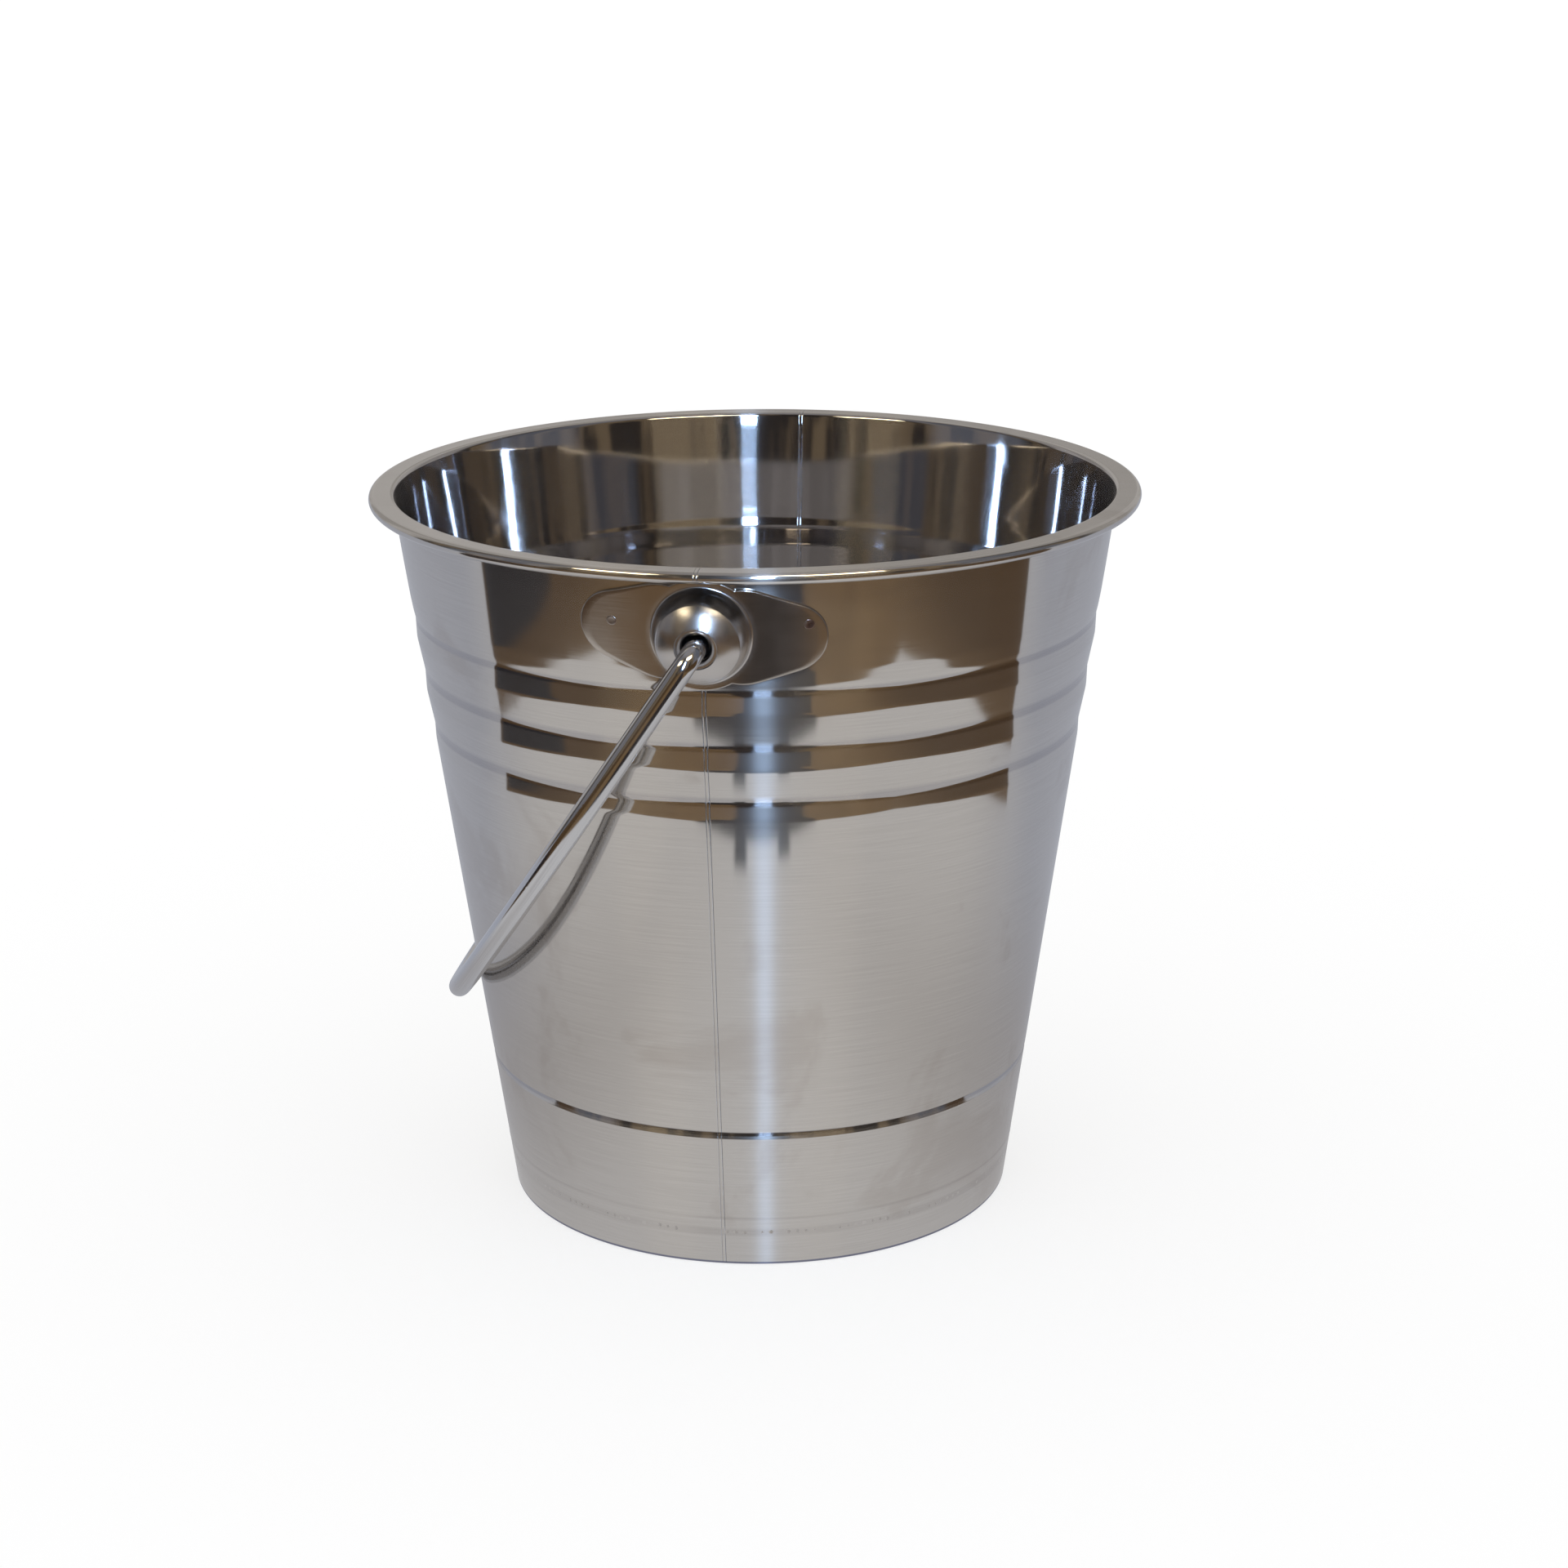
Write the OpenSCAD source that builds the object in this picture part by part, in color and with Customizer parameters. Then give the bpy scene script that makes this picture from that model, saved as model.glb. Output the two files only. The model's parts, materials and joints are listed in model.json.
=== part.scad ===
// Stainless steel pail with a swinging wire bail.
// The origin is the centre of the foot ring, +Z is up, and the two ears sit on the Y axis.
// The bail hangs down on the -X side and swings about the Y axis.

/* [Body] */
// Overall height, from the floor to the top of the rim
pail_h = 210; // [190:1:225]
// Diameter of the foot, where the pail stands
foot_d = 147.2; // [140:0.2:156]
// Diameter that the plain cone would reach at the top of the pail
mouth_d = 209.2; // [203:0.2:210]
// Thickness of the sheet in the body and the base
sheet_t = 0.7; // [0.6:0.05:0.8]
// Width of each of the two welded side seams
seam_w = 1.4; // [1:0.1:2]

/* [Rim] */
// Overall diameter of the rim
rim_d = 220; // [219:0.5:224]
// Diameter of the rolled bead at the rim's outer edge
rim_bead_d = 3.3; // [3.2:0.1:3.8]
// Radius of the bend between the wall and the rim's flat top, on its outside
rim_bend_r = 0.8; // [0.6:0.1:1.2]

/* [Swages] */
// Number of pressed rings in the upper wall
swage_count = 3; // [1:1:4]
// Height of the lowest ring's innermost line above the floor
swage_z = 143; // [136:0.5:143]
// Distance from one ring to the next
swage_pitch = 15.8; // [14:0.1:15.8]
// Depth of the rings' innermost line below the plain wall
swage_depth = 0.45; // [0.3:0.05:0.5]
// Height of the rings' outermost line above the plain wall
swage_crest = 0.15; // [0.1:0.05:0.3]
// Height of each ring's steep lower slope
swage_step = 6; // [5:0.5:7]
// Height of the narrow groove near the foot
groove_z = 42.8; // [36:0.5:60]
// Depth of that groove
groove_depth = 0.5; // [0.35:0.05:0.6]

/* [Base] */
// Height of the floor inside the pail
floor_z = 16; // [14:0.5:20]
// Height of the lower edge of the base's flange
flange_z = 5; // [3:0.5:6]
// Radius of the corner between the base's flange and its floor
base_corner_r = 2.2; // [1.5:0.1:3]
// Radius of the raised middle of the floor
panel_r = 54; // [40:1:60]
// Height of the raised middle above the floor
panel_rise = 1; // [0.5:0.1:2]
// Height of the middle of the welded band that joins the base to the wall
base_weld_z = 10.5; // [9:0.5:11]
// Width of the welded band
base_weld_w = 3; // [2:0.5:3]
// Depth to which the weld reaches into each sheet
base_weld_depth = 0.35; // [0.2:0.05:0.4]

/* [Ears] */
// Height of the middle of each ear, measured on the wall
ear_z = 191.5; // [188:0.5:192]
// Thickness of the ear's sheet
ear_t = 1; // [0.8:0.1:1.2]
// Clearance between the ear and the wall, closed by the spot welds
ear_gap = 0.05; // [0.02:0.01:0.1]
// Radius of the ear's middle disc
ear_disc_r = 15.6; // [15:0.1:16]
// Radius of the ear's wings beside the disc
wing_root_r = 13.3; // [12:0.1:13.5]
// Distance from the ear's middle to the centre of that radius
wing_root_x = 11; // [10:0.5:12]
// Radius of the wings' tips
wing_tip_r = 9.5; // [8:0.5:10]
// Distance from the ear's middle to the centre of the wing tip
wing_tip_x = 23.2; // [22:0.1:26]
// Angle by which each ear is set out of level, clockwise as seen from outside
ear_tilt = 3; // [0:0.5:4]
// Half the distance between an ear's two spot welds
spot_x = 26; // [24:0.5:28]
// Distance that the pair of spot welds sits to the right of the ear's middle
spot_shift = 2; // [0:0.1:3]
// Height of the spot welds above the ear's middle
spot_up = 2.5; // [0:0.5:4]
// Diameter of each spot weld
spot_d = 2.8; // [2:0.2:4]

/* [Dome] */
// Radius of the dome where it leaves the plate
dome_r = 13; // [12.9:0.1:13.4]
// Angle through which the dome's shoulder turns before it meets the cap
shoulder_a = 30; // [27:1:34]
// Radius of the dome's cap
cap_r = 16; // [15.8:0.1:16.4]
// Diameter of the hole that carries the bail
hole_d = 7.8; // [7.4:0.1:8]

/* [Bail] */
// Diameter of the bail's wire
wire_d = 6; // [5:0.1:6]
// Distance from the pail's axis to the middle of each leg
bail_half = 117; // [117:0.5:120]
// Length of the straight legs, from the pivot to the round part
leg_l = 37; // [37:0.5:40]
// Radius of the bends where the wire turns into the ears
bend_r = 6; // [5.5:0.1:6]
// Angle below the horizontal at which the bail hangs against the wall
hang_angle = 56.1; // [50:0.1:56.1]
// Diameter of the upset heads that hold the wire in the ears
head_d = 9.4; // [8.8:0.1:10]
// Thickness of the upset heads
head_t = 2.6; // [2:0.1:3]

/* [Hidden] */
$fn = 144;

foot_r = foot_d / 2;
taper = atan((mouth_d / 2 - foot_r) / pail_h);
sheet_run = sheet_t / cos(taper);
// Straight slopes beside the innermost line of a ring and of the groove
swage_lead = 4.6;
groove_lower = 2.1;
groove_upper = 1.2;
// The rim's bead is rolled until its edge turns back under the flat top
bead_end = -190;
bead_steps = 28;
bend_steps = 6;
outline_steps = 10;
// Centre of the cap's arc, measured out from the wall
cap_centre = -4.45;
cap_foot_r = 10.8;
cap_top_r = 5.7;
// Fine crease between the shoulder and the cap: how far it runs in, and out from the wall
crease_in = 0.25;
crease_out = 0.2;
// Shallow seat pressed around the hole, and the edge turned in to line it
seat_r = 5.4;
seat_drop = 0.3;
lip_r = 1.2;
lip_l = 2.1;
// Where the dome and the plate are merged
plate_overlap = 0.5;
skirt_depth = 2.5;
// The bail turns at the middle of the hole's turned-in edge
pivot_out = 9.7;
pivot_z = ear_z - pivot_out * sin(taper);
// The heads sit in the hollow of the domes
head_out = 4.2;
head_y = foot_r + ear_z * tan(taper) + head_out;

// Radius of the plain outer wall at height z
function wall_r(z) = foot_r + z * tan(taper);

// Point on the outer wall at height z, moved out by step
function wall_point(z, step = 0) = [wall_r(z) + step, z];

// Points along an arc from angle a0 to angle a1
function arc(centre, radius, a0, a1, steps) = [
    for (i = [0 : steps])
        let (a = a0 + (a1 - a0) * i / steps)
        centre + radius * [cos(a), sin(a)]
];

function left_of(v) = [-v[1], v[0]] / norm(v);

// The path moved sideways to its left by d, with mitred corners
function moved_left(path, d) = [
    let (last = len(path) - 1)
    for (i = [0 : last])
        let (
            a = left_of(path[max(i, 1)] - path[max(i, 1) - 1]),
            b = left_of(path[min(i, last - 1) + 1] - path[min(i, last - 1)])
        )
        path[i] + d * (a + b) / (1 + a * b)
];

function reversed(list) = [for (i = [len(list) - 1 : -1 : 0]) list[i]];

// Outline of a bent sheet that lies on the left side of a path
function sheet_outline(path, thickness) = concat(path, reversed(moved_left(path, thickness)));

// Outer line of the pressed rings, from the lowest to the highest
function swage_points() = concat(
    [wall_point(swage_z - swage_lead)],
    [
        for (i = [0 : swage_count - 1], valley = [true, false])
            let (z = swage_z + i * swage_pitch)
            if (valley) wall_point(z, -swage_depth)
            else if (i < swage_count - 1) wall_point(z + swage_pitch - swage_step, swage_crest)
    ],
    [wall_point(swage_z + (swage_count - 1) * swage_pitch + swage_lead)]
);

function groove_points() = [
    wall_point(groove_z - groove_lower),
    wall_point(groove_z, -groove_depth),
    wall_point(groove_z + groove_upper)
];

// The bend out of the wall, the flat underside and the inside of the rolled bead
function rim_points() =
    let (
        under_z = pail_h - sheet_t,
        bend_z = under_z - rim_bend_r,
        touch_z = bend_z + rim_bend_r * sin(taper),
        bend_x = wall_r(touch_z) + rim_bend_r * cos(taper),
        bead_centre = [rim_d - rim_bead_d, 2 * pail_h - rim_bead_d] / 2,
        bead_inner_r = rim_bead_d / 2 - sheet_t
    )
    concat(
        arc([bend_x, bend_z], rim_bend_r, 180 - taper, 90, bend_steps),
        arc(bead_centre, bead_inner_r, 90, bead_end, bead_steps)
    );

function shell_path() = concat([wall_point(-1)], groove_points(), swage_points(), rim_points());

// Outside of the base: up the inside of the wall, round the corner and in to the middle
function base_path() =
    let (
        corner_z = floor_z - base_corner_r,
        touch_z = corner_z - base_corner_r * sin(taper),
        inner_r = wall_r(touch_z) - sheet_run,
        corner_x = inner_r - base_corner_r * cos(taper)
    )
    concat(
        [[wall_r(flange_z) - sheet_run, flange_z]],
        arc([corner_x, corner_z], base_corner_r, -taper, 90, bend_steps),
        [
            [panel_r + 2 * panel_rise, floor_z],
            [panel_r, floor_z + panel_rise],
            [0, floor_z + panel_rise]
        ]
    );

// Outside of the dome: the shoulder, the cap, the seat and the edge turned into the hole
function dome_path() =
    let (
        cap_a0 = acos(cap_foot_r / cap_r),
        cap_a1 = acos(cap_top_r / cap_r),
        shoulder_r = (dome_r - cap_foot_r - crease_in) / (1 - cos(shoulder_a)),
        shoulder_end_z = cap_centre + cap_r * sin(cap_a0) - crease_out,
        shoulder_z = shoulder_end_z - shoulder_r * sin(shoulder_a),
        seat_z = cap_centre + cap_r * sin(cap_a1) - seat_drop,
        hole_r = hole_d / 2
    )
    concat(
        [[dome_r, -skirt_depth]],
        arc([dome_r - shoulder_r, shoulder_z], shoulder_r, 0, shoulder_a, 10),
        arc([0, cap_centre], cap_r, cap_a0, cap_a1, 10),
        [[seat_r, seat_z]],
        arc([hole_r + lip_r, seat_z - lip_r], lip_r, 90, 180, bend_steps),
        [[hole_r, seat_z - lip_l]]
    );

// Moves children to height z on the wall, with their Z axis square to the wall
module on_wall(z, turn = 0) {
    rotate([0, 0, turn])
        translate([0, -wall_r(z), z])
        rotate([90 + taper, 0, 0])
        children();
}

// Solid cone that stands proud of the plain wall by gap
module wall_cone(gap) {
    cylinder(h = pail_h, r1 = foot_r + gap / cos(taper), r2 = mouth_d / 2 + gap / cos(taper));
}

module base_weld_ring() {
    z0 = base_weld_z - base_weld_w / 2;
    z1 = base_weld_z + base_weld_w / 2;
    rotate_extrude()
        polygon([
            [wall_r(z0) - sheet_run - base_weld_depth, z0],
            [wall_r(z0) - sheet_run + base_weld_depth, z0],
            [wall_r(z1) - sheet_run + base_weld_depth, z1],
            [wall_r(z1) - sheet_run - base_weld_depth, z1]
        ]);
}

// The whole body before its two halves and their seams are told apart
module rolled_body() {
    difference() {
        rotate_extrude()
            intersection() {
                polygon(sheet_outline(shell_path(), sheet_t));
                square([rim_d, pail_h]);
            }
        base_weld_ring();
    }
}

// Half of the body, up to the edges of the two seams: side is -1 on the left and 1 on the right
module shell_half(side) {
    color("silver")
        intersection() {
            rolled_body();
            translate([side * (seam_w + rim_d) / 2, 0, pail_h / 2])
                cube([rim_d, 2 * rim_d, pail_h + 2], center = true);
        }
}

// Strip of weld metal along one side seam, turned round from the front
module side_seam(turn) {
    color("gray")
        intersection() {
            rolled_body();
            rotate([0, 0, turn])
                translate([0, -rim_d / 2, pail_h / 2])
                cube([seam_w, rim_d, pail_h + 2], center = true);
        }
}

module left_shell() {
    shell_half(-1);
}

module right_shell() {
    shell_half(1);
}

module front_seam_weld() {
    side_seam(0);
}

module rear_seam_weld() {
    side_seam(180);
}

module base_pan() {
    color("lightgray")
        difference() {
            rotate_extrude()
                polygon(sheet_outline(base_path(), sheet_t));
            base_weld_ring();
        }
}

module base_seam_weld() {
    color("dimgray")
        base_weld_ring();
}

// Right half of the ear's outline, from the middle of its lower edge to the middle of its upper edge:
// the disc, the wing's root, the wing's tip, and back over the root to the disc
function ear_half_outline() =
    let (
        notch_x = (ear_disc_r ^ 2 - wing_root_r ^ 2 + wing_root_x ^ 2) / (2 * wing_root_x),
        disc_a = acos(notch_x / ear_disc_r),
        root_a = acos((notch_x - wing_root_x) / wing_root_r),
        tangent_a = acos((wing_root_r - wing_tip_r) / (wing_tip_x - wing_root_x)),
        root = [wing_root_x, 0],
        tip = [wing_tip_x, 0]
    )
    concat(
        arc([0, 0], ear_disc_r, -90, -disc_a, outline_steps),
        arc(root, wing_root_r, -root_a, -tangent_a, outline_steps),
        arc(tip, wing_tip_r, -tangent_a, tangent_a, 2 * outline_steps),
        arc(root, wing_root_r, tangent_a, root_a, outline_steps),
        arc([0, 0], ear_disc_r, disc_a, 90, outline_steps)
    );

module ear_outline() {
    right = ear_half_outline();
    left = [for (p = reversed(right)) [-p[0], p[1]]];
    polygon(concat(right, [for (i = [1 : len(left) - 2]) left[i]]));
}

// Pins square to the wall at the two spot welds of one ear
module spot_pins() {
    z = ear_z + spot_up * cos(taper);
    for (side = [-1, 1])
        on_wall(z, (side * spot_x + spot_shift) / wall_r(z) * 180 / PI)
            cylinder(d = spot_d, h = 4 * ear_t, center = true, $fn = 48);
}

module ear_plate() {
    difference() {
        intersection() {
            on_wall(ear_z)
                rotate([0, 0, -ear_tilt])
                linear_extrude(height = 4 * wing_root_r, center = true)
                ear_outline();
            wall_cone(ear_gap + ear_t);
        }
        on_wall(ear_z)
            cylinder(r = dome_r - plate_overlap, h = 4 * skirt_depth, center = true);
        spot_pins();
    }
}

module ear() {
    color("gainsboro")
        difference() {
            union() {
                ear_plate();
                on_wall(ear_z)
                    rotate_extrude()
                    polygon(sheet_outline(dome_path(), ear_t));
            }
            wall_cone(ear_gap);
        }
}

module ear_front() {
    ear();
}

module ear_rear() {
    rotate([0, 0, 180])
        ear();
}

// Nuggets of fused metal that fill the ears' weld holes and reach the wall
module ear_spot_welds() {
    color("darkgray")
        for (turn = [0, 180])
            rotate([0, 0, turn])
                difference() {
                    intersection() {
                        spot_pins();
                        wall_cone(ear_gap + ear_t);
                    }
                    wall_cone(0);
                }
}

// One end of the bail, lying flat: the leg, the bend, the part in the hole and the head
module bail_end() {
    translate([-leg_l, -bail_half, 0])
        rotate([0, 90, 0])
        cylinder(d = wire_d, h = leg_l - bend_r);
    translate([-bend_r, bend_r - bail_half, 0])
        rotate([0, 0, -90])
        rotate_extrude(angle = 90)
        translate([bend_r, 0])
        circle(d = wire_d);
    translate([0, bend_r - bail_half, 0])
        rotate([-90, 0, 0])
        cylinder(d = wire_d, h = bail_half - bend_r - head_y);
    translate([0, -head_y - head_t, 0])
        rotate([-90, 0, 0])
        cylinder(d = head_d, h = head_t);
}

module bail() {
    color("whitesmoke")
        translate([0, 0, pivot_z])
        rotate([0, -hang_angle, 0])
        union() {
            translate([-leg_l, 0, 0])
                rotate([0, 0, 90])
                rotate_extrude(angle = 180)
                translate([bail_half, 0])
                circle(d = wire_d);
            bail_end();
            mirror([0, 1, 0])
                bail_end();
        }
}

left_shell();
right_shell();
front_seam_weld();
rear_seam_weld();
base_pan();
base_seam_weld();
ear_front();
ear_rear();
ear_spot_welds();
bail();
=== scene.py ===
"""Looks of a stainless steel pail with a wire bail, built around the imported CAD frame.

Everything is in metres in the frame of the part: the origin is the centre of the foot, +Z is up,
the ears sit at -Y and +Y over the two side seams, and the bail hangs on the -X side.
"""
import json
import math

import bmesh
import bpy
import numpy as np
from mathutils import Matrix, Vector


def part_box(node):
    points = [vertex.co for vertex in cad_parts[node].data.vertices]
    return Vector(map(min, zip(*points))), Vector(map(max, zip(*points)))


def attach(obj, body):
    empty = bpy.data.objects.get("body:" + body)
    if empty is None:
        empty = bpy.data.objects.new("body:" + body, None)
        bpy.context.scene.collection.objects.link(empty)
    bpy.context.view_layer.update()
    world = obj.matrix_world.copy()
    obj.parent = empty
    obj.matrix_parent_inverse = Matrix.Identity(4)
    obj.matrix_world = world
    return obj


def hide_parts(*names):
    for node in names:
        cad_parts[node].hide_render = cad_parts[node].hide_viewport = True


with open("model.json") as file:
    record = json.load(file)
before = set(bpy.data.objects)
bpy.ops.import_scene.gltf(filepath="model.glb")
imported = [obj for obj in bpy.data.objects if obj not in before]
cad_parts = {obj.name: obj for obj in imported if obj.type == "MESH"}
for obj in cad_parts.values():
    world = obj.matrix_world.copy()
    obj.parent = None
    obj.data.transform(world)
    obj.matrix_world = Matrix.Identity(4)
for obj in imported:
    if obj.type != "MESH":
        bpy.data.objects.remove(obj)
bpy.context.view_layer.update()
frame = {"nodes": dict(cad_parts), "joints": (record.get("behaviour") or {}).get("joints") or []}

MM = 0.001
rng = np.random.default_rng(7)

# -------------------- sizes read from the frame

SHELL_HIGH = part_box("right_shell")[1]
PAIL_H = SHELL_HIGH.z
RIM_R = SHELL_HIGH.x
SEAM_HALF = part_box("front_seam_weld")[1].x


def shell_ring(height):
    """Outer radius, inner radius and height of the shell's CAD ring nearest to a height."""
    co = np.array([v.co for v in frame["nodes"]["right_shell"].data.vertices])
    nearest = co[np.abs(co[:, 2] - height).argmin(), 2]
    ring = co[np.abs(co[:, 2] - nearest) < 0.01 * MM]
    radii = np.hypot(ring[:, 0], ring[:, 1])
    return radii.max(), radii.min(), nearest


FOOT_R, FOOT_INNER_R, _ = shell_ring(0.0)
UPPER_R, _, UPPER_Z = shell_ring(0.6 * PAIL_H)
SLOPE = (UPPER_R - FOOT_R) / UPPER_Z
TAPER = math.atan(SLOPE)
SHEET_RUN = FOOT_R - FOOT_INNER_R
SHEET_T = SHEET_RUN * math.cos(TAPER)

BASE_LOW, BASE_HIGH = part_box("base_pan")
WELD_LOW, WELD_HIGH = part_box("base_seam_weld")
BAIL_LOW, BAIL_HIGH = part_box("bail")
PIVOT_Z = frame["joints"][0]["pos_m"][2]
WELD_MIDDLE = (WELD_LOW.z + WELD_HIGH.z) / 2

# -------------------- sizes of the finer shapes

# Pressed rings and the groove: heights and steps out from the plain wall
RING_COUNT = 3
RING_Z = 143 * MM
RING_PITCH = 15.8 * MM
RING_DEPTH = 0.45 * MM
RING_CREST = 0.15 * MM
RING_STEP = 6 * MM
RING_LEAD = 4.6 * MM
RING_TOP_LEAD = 14 * MM
# The top ring runs out in a curve: shares of its lead and of its depth
RING_RUN_OUT = ((0.17, 0.5), (0.45, 0.16), (1.0, 0.0))
GROOVE_Z = 42.4 * MM
GROOVE_DEPTH = 0.75 * MM
GROOVE_LOWER = 1.85 * MM
GROOVE_UPPER = 0.4 * MM
BEND_SOFTNESS = 0.8 * MM
GROOVE_SOFTNESS = 0.1 * MM
GROOVE_SOFTNESS_INSIDE = 0.9 * MM
# Faint ridge where the wall is pressed over the base's corner
RIDGE_Z = 14.2 * MM
RIDGE_HALF = 1.5 * MM
RIDGE_HEIGHT = 0.06 * MM
# Rim
BEAD_R = 1.65 * MM
RIM_BEND_R = 0.8 * MM
BEAD_END = -190
FOOT_EDGE_R = 0.3 * MM
# Base
BASE_CORNER_R = 2.2 * MM
PANEL_R = 54 * MM
PANEL_RISE = 1 * MM
BASE_FAN_R = 0.4 * MM
# Side seams: the strip's crest, and the place, half width and depth of its two creases
SEAM_CREST_HALF = 0.2 * MM
SEAM_LINE = 0.48 * MM
SEAM_LINE_HALF = 0.1 * MM
SEAM_DIP = 0.05 * MM
# Weld nuggets of the base, proud of the wall at their middles and sunk in it between them
NUGGETS = 190
NUGGET_HEIGHT = 0.06 * MM
NUGGET_SINK = 0.04 * MM
NUGGET_REACH = 1.25 * MM
NUGGET_SCATTER = 0.12 * MM
NUGGET_LEAST = 0.55
WELD_DEPTH = 1.6 * SHEET_RUN
# Ears, in the frame of the wall: u to the right, v up the wall, w out of it
EAR_T = 1 * MM
EAR_GAP = 0.05 * MM
PIVOT_OUT = 9.7 * MM
EAR_Z = PIVOT_Z + PIVOT_OUT * math.sin(TAPER)
EAR_DISC_R = 15.6 * MM
WING_ROOT = (11 * MM, 13.3 * MM)
WING_TIP = (23.2 * MM, 9.5 * MM)
EAR_TILT = math.radians(3)
EAR_EDGE_R = 0.3 * MM
EAR_SHARP = 35
EAR_LEAST = 0.2 * MM
DOME_R = 13 * MM
SHOULDER_TURN = 30
CREASE_IN = 0.25 * MM
CREASE_OUT = 0.2 * MM
CAP_R = 16 * MM
CAP_W = -4.45 * MM
CAP_FOOT_R = 10.8 * MM
CAP_TOP_R = 5.7 * MM
SEAT_R = 5.4 * MM
SEAT_DROP = 0.3 * MM
HOLE_R = 3.9 * MM
LIP_R = 1.2 * MM
LIP_L = 2.1 * MM
LIP_INSIDE = 0.6 * EAR_T
DOME_FILLET = 0.9 * MM
DOME_CUT_W = 1.9 * MM
DOME_BLEND = 1.5 * MM
SPOT_X = 26 * MM
SPOT_SHIFT = 2 * MM
SPOT_UP = 2.5 * MM
# Radius and height over the plate, from the dimple's middle to the sunk edge of a spot weld
SPOT_PROFILE = np.array([
    (0.15, 0.02), (0.5, 0.022), (0.75, 0.035), (0.92, 0.065), (1.05, 0.075),
    (1.18, 0.06), (1.3, 0.02), (1.4, -0.06), (1.4, -0.9), (0.15, -0.9),
]) * MM
# Bail
WIRE_R = 3 * MM
BAIL_HALF = BAIL_HIGH.y - WIRE_R
BAIL_DROP = PIVOT_Z - BAIL_LOW.z - WIRE_R
BAIL_OUT = -BAIL_LOW.x - WIRE_R
HANG = math.atan2(BAIL_DROP, BAIL_OUT)
LEG_L = math.hypot(BAIL_DROP, BAIL_OUT) - BAIL_HALF
BEND_R = 6 * MM
HEAD_OUT = 4.2 * MM
# Distance from the end of the wire and radius of each ring of an upset head
HEAD_RINGS = np.array([
    (0.0, 0.4), (0.0, 2.6), (0.05, 3.6), (0.25, 4.25), (0.6, 4.6), (1.1, 4.7), (1.7, 4.68),
    (2.15, 4.45), (2.45, 4.05), (2.6, 3.5), (2.75, 3.1),
]) * MM
# Vertices across each half shell, and round the other pieces
SHELL_COLUMNS = 170
BASE_COLUMNS = 256
NUGGET_COLUMNS = 6
EAR_COLUMNS = 384
SPOT_COLUMNS = 40
WIRE_SIDES = 40

# -------------------- camera, from the photo's angle

CAMERA_AZIMUTH = math.radians(8.15)
CAMERA_DISTANCE = 973.8 * MM
CAMERA_HEIGHT = 421.2 * MM
CAMERA_LENS = 79.74
CAMERA_SENSOR = 36
CAMERA_PITCH = math.radians(17.2066)
CAMERA_YAW = math.radians(0.4557)
CAMERA_ROLL = math.radians(-0.3185)


# -------------------- mesh helpers

def arc(centre, radius, start, end, steps):
    """Points on an arc between two angles in degrees, as an array of (x, y)."""
    angles = np.radians(np.linspace(start, end, steps + 1))
    return np.array(centre) + radius * np.column_stack([np.cos(angles), np.sin(angles)])


def level(x, y):
    """Points at several x and one y, as an array of (x, y)."""
    return np.column_stack([x, np.full(len(x), y)])


def directions(path):
    """Unit directions along a path."""
    along = np.gradient(path, axis=0)
    return along / np.linalg.norm(along, axis=1)[:, None]


def left_normals(path):
    """Unit normals on the left of a path."""
    along = directions(path)
    return np.column_stack([-along[:, 1], along[:, 0]])


def full_turn(count):
    """Angles of a full turn in equal steps."""
    return np.linspace(0, 2 * math.pi, count, endpoint=False)


def round_the_axis(radius, angle, height):
    """Points round the Z axis, with their angles counted from the front."""
    parts = np.broadcast_arrays(radius * np.sin(angle), -radius * np.cos(angle), height)
    return np.stack(parts, axis=-1)


def grid_faces(rows, columns, wrap_rows=False, wrap_columns=False):
    """Quads of a grid whose vertices are numbered row by row."""
    faces = []
    for i in range(rows if wrap_rows else rows - 1):
        for j in range(columns if wrap_columns else columns - 1):
            i2 = (i + 1) % rows
            j2 = (j + 1) % columns
            faces.append((i * columns + j, i * columns + j2, i2 * columns + j2, i2 * columns + j))
    return faces


def sheet_faces(rows, columns):
    """Faces of a sheet whose rows run up one side of it and down the other, with closed edges."""
    faces = grid_faces(rows, columns, wrap_rows=True)
    for column in (0, columns - 1):
        for i in range(rows // 2 - 1):
            ring = (i, i + 1, rows - 2 - i, rows - 1 - i)
            faces.append(tuple(k * columns + column for k in ring))
    return faces


def tube_faces(rows, columns):
    """Faces of a tube whose rows are its rings, with closed ends."""
    last = (rows - 1) * columns
    ends = [tuple(range(columns)), tuple(range(last, last + columns))]
    return grid_faces(rows, columns, wrap_columns=True) + ends


def new_piece(name, shape, material, node, body="pail", sharp=50):
    """A smooth-shaded piece from vertices and faces, on a body and in place of a CAD node."""
    vertices, faces = shape
    mesh = bpy.data.meshes.new(name)
    mesh.from_pydata([tuple(v) for v in np.reshape(vertices, (-1, 3))], [], faces)
    shaped = bmesh.new()
    shaped.from_mesh(mesh)
    bmesh.ops.recalc_face_normals(shaped, faces=shaped.faces)
    shaped.to_mesh(mesh)
    shaped.free()
    mesh.shade_smooth()
    mesh.set_sharp_from_angle(angle=math.radians(sharp))
    mesh.materials.append(material)
    piece = bpy.data.objects.new(name, mesh)
    bpy.context.scene.collection.objects.link(piece)
    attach(piece, body)
    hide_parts(node)
    return piece


# -------------------- profile of the wall and the rim

def wall_r(z):
    """Radius of the plain outer wall at a height."""
    return FOOT_R + SLOPE * z


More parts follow.
